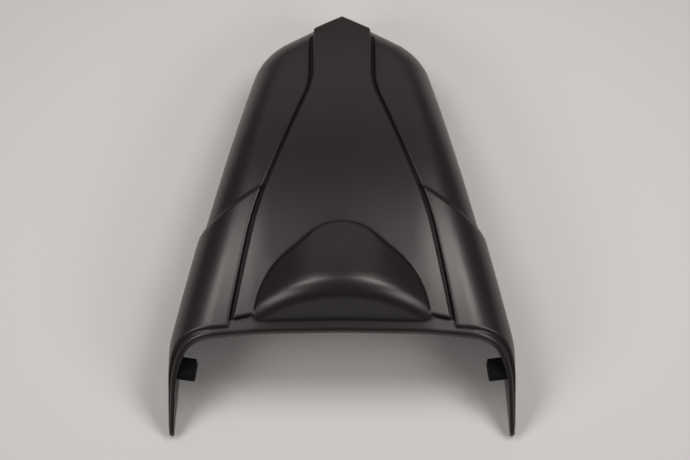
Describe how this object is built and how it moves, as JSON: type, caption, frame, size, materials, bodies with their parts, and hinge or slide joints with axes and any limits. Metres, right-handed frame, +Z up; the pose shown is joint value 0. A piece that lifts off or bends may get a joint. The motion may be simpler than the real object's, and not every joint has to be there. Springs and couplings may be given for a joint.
{
  "type": "motorcycle seat cowl",
  "caption": "Moulded black cowl that covers a motorcycle's rear seat: a tapered hollow shell with a raised centre panel, shoulder plates, a front hump and foam pads inside its front legs.",
  "frame": {"origin": "middle of the cowl's length and width, on the plane of its rim", "axes": "+Z up, +Y from the open front to the tail, +X to the rider's left"},
  "size_m": [0.25, 0.336, 0.1032],
  "materials": {
    "shell_plastic": "black moulded plastic with a fine satin grain",
    "pad_foam": "dead black closed-cell foam"
  },
  "bodies": {
    "root": {"cowl_shell": "shell_plastic", "left_pad": "pad_foam", "right_pad": "pad_foam"}
  },
  "joints": []
}
